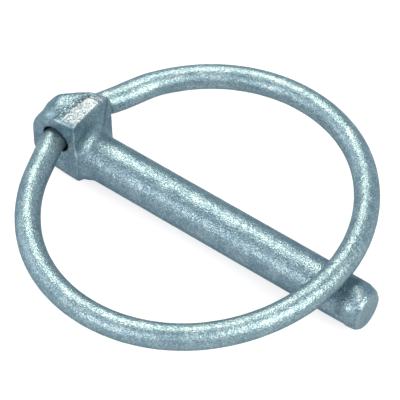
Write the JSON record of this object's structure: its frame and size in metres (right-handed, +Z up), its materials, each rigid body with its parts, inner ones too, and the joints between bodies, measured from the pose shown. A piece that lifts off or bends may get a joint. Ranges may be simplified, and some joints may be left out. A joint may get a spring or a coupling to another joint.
{
  "type": "quick lock pin",
  "caption": "Quick lock pin: a round forged pin with an offset pierced head and a hinged ring of spring wire that swings over the head and closes onto the pin's tip.",
  "frame": {"origin": "on the shank's axis, where the straight shank comes out of the flare under the shoulder", "axes": "+X along the shank towards its tip, +Y along the head's cross hole towards its rounder side, +Z up towards the side where the ring rests"},
  "size_m": [0.0544, 0.0496, 0.0115],
  "materials": {
    "pin_zinc": "satin",
    "ring_zinc": "satin"
  },
  "bodies": {
    "pin": {"forged_pin": "pin_zinc"},
    "ring": {"wire_ring": "ring_zinc"}
  },
  "joints": [
    {"name": "ring_swing", "type": "hinge", "parent": "pin", "child": "ring", "pos_m": [-0.00527, 0.00065, 0.00335], "axis": [0, -1, 0], "range_deg": [0, 347.2]}
  ]
}
